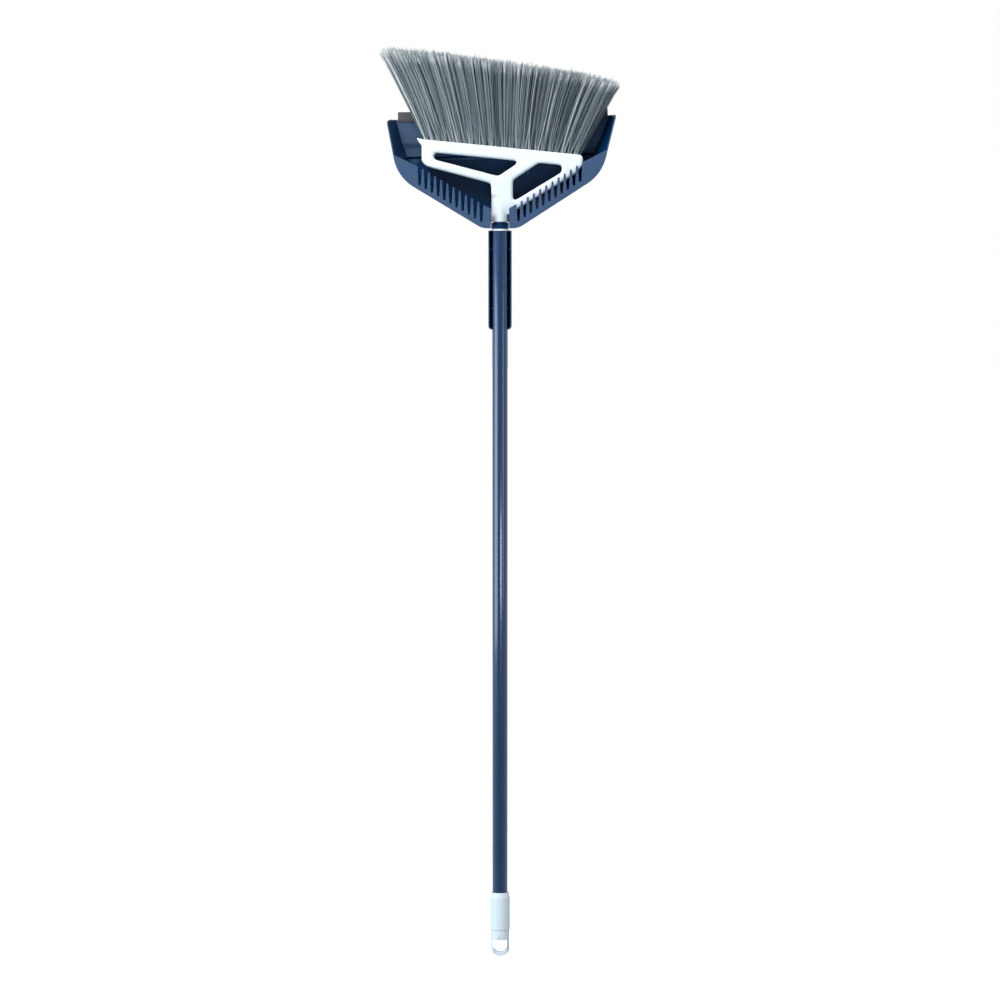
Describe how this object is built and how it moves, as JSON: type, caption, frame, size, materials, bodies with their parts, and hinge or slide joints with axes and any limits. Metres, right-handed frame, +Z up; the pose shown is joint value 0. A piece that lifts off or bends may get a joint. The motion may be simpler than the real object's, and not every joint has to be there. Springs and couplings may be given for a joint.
{
  "type": "angle broom with dustpan",
  "caption": "Angle broom on a slim tube pole with a hanging loop, nested in a clip-on dustpan with a bristle-cleaning comb and a soft lip.",
  "frame": {"origin": "on the pole's axis, halfway along the steel tube, where a wall clip or a hand holds it", "axes": "+Z up the pole towards the bristles, +X across the head towards its short bristles, +Y from the front of the head to the dustpan's base"},
  "size_m": [0.3203, 0.052, 1.2747],
  "materials": {
    "navy_coated_steel": "satin navy powder coating",
    "navy_plastic": "satin navy moulded plastic",
    "white_plastic": "white moulded plastic with a soft gloss",
    "pale_plastic": "bluish white moulded plastic",
    "grey_bristle": "grey flagged bristle",
    "anchor_wire": "galvanised flat wire",
    "grey_soft_plastic": "warm grey soft lip"
  },
  "bodies": {
    "pole": {"pole_tube": "navy_coated_steel", "threaded_tip": "navy_plastic", "spacer_ring": "white_plastic", "hang_cap": "pale_plastic"},
    "head": {"head_frame": "white_plastic", "tuft_anchors": "anchor_wire", "tuft_column_01": "grey_bristle", "tuft_column_02": "grey_bristle", "tuft_column_03": "grey_bristle", "tuft_column_04": "grey_bristle", "tuft_column_05": "grey_bristle", "tuft_column_06": "grey_bristle", "tuft_column_07": "grey_bristle", "tuft_column_08": "grey_bristle", "tuft_column_09": "grey_bristle", "tuft_column_10": "grey_bristle", "tuft_column_11": "grey_bristle", "tuft_column_12": "grey_bristle", "tuft_column_13": "grey_bristle", "tuft_column_14": "grey_bristle", "tuft_column_15": "grey_bristle", "tuft_column_16": "grey_bristle", "tuft_column_17": "grey_bristle", "tuft_column_18": "grey_bristle", "tuft_column_19": "grey_bristle", "tuft_column_20": "grey_bristle", "tuft_column_21": "grey_bristle", "tuft_column_22": "grey_bristle", "tuft_column_23": "grey_bristle", "tuft_column_24": "grey_bristle"},
    "dustpan": {"dustpan": "navy_plastic", "dustpan_lip": "grey_soft_plastic"}
  },
  "joints": [
    {"name": "head_unscrew", "type": "hinge", "parent": "pole", "child": "head", "pos_m": [0, 0, 0.4953], "axis": [0, 0, 1], "range_deg": [0, 1620]},
    {"name": "dustpan_pull", "type": "slide", "parent": "head", "child": "dustpan", "axis": [0, 0.1392, -0.9903], "range_m": [0, 0.26]}
  ]
}
